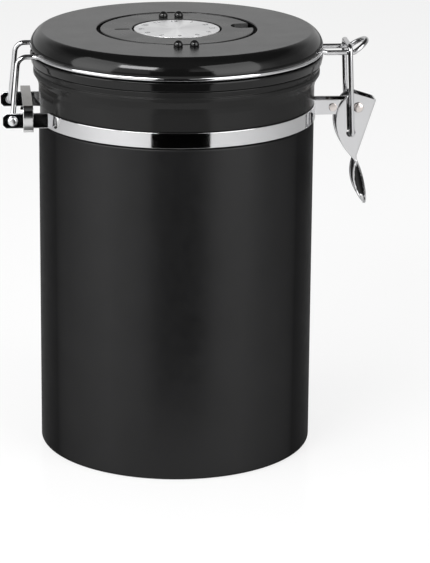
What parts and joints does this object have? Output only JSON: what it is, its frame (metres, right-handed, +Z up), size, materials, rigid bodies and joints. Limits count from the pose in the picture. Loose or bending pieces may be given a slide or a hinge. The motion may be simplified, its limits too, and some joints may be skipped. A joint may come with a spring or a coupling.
{
  "type": "coffee canister with a clamped lid",
  "caption": "Cylindrical steel storage canister with a hinged wire-clamped lid, over-centre latch, turning date ring and one-way valve.",
  "frame": {"origin": "centre of the flat base, on the surface that it stands on", "axes": "+Z up along the can's axis, +X to the latch, -X to the hinge"},
  "size_m": [0.1635, 0.1272, 0.1886],
  "materials": {
    "coat": "matte powder coat",
    "collar": "satin",
    "lid": "gloss",
    "ring": "satin gloss",
    "steel": "polished",
    "dial": "brushed",
    "inner_plastic": "satin",
    "silicone": "matte",
    "filter": "matte"
  },
  "bodies": {
    "canister": {"body_shell": "coat", "rim_collar": "collar", "front_band": "steel", "rear_band": "steel", "hinge_keeper": "steel", "band_rivet": "steel", "lever_rivet": "steel"},
    "lid": {"lid_shell": "lid", "lid_wire": "steel", "lid_liner": "inner_plastic", "lid_gasket": "silicone", "dial_hub": "inner_plastic", "dial_disc": "dial", "hub_clip": "steel", "index_stud_a": "lid", "index_stud_b": "lid", "valve_body": "inner_plastic", "valve_filter": "filter"},
    "ring": {"date_ring": "ring", "ring_stud_a": "lid", "ring_stud_b": "lid"},
    "valve": {"valve_disc": "silicone"},
    "lever": {"latch_lever": "steel"},
    "latch": {"latch_wire": "steel"}
  },
  "joints": [
    {"name": "lid_hinge", "type": "hinge", "parent": "canister", "child": "lid", "pos_m": [-0.0719, 0, 0.1507], "axis": [0, -1, 0], "range_deg": [0, 180]},
    {"name": "lever_pivot", "type": "hinge", "parent": "canister", "child": "lever", "pos_m": [0.0795, 0, 0.1507], "axis": [0, -1, 0], "range_deg": [0, 120]},
    {"name": "latch_wire_pivot", "type": "hinge", "parent": "lever", "child": "latch", "pos_m": [0.0764, 0, 0.1393], "axis": [0, -1, 0], "range_deg": [-252, 0]},
    {"name": "date_ring_turn", "type": "hinge", "parent": "lid", "child": "ring", "pos_m": [0, 0, 0.182], "axis": [0, 0, 1], "continuous": true},
    {"name": "valve_lift", "type": "slide", "parent": "lid", "child": "valve", "axis": [0, 0, 1], "range_m": [0, 0.0008]}
  ],
  "couplings": [
    {"joint": "latch_wire_pivot", "follows": "lever_pivot", "ratio": -2.1}
  ]
}
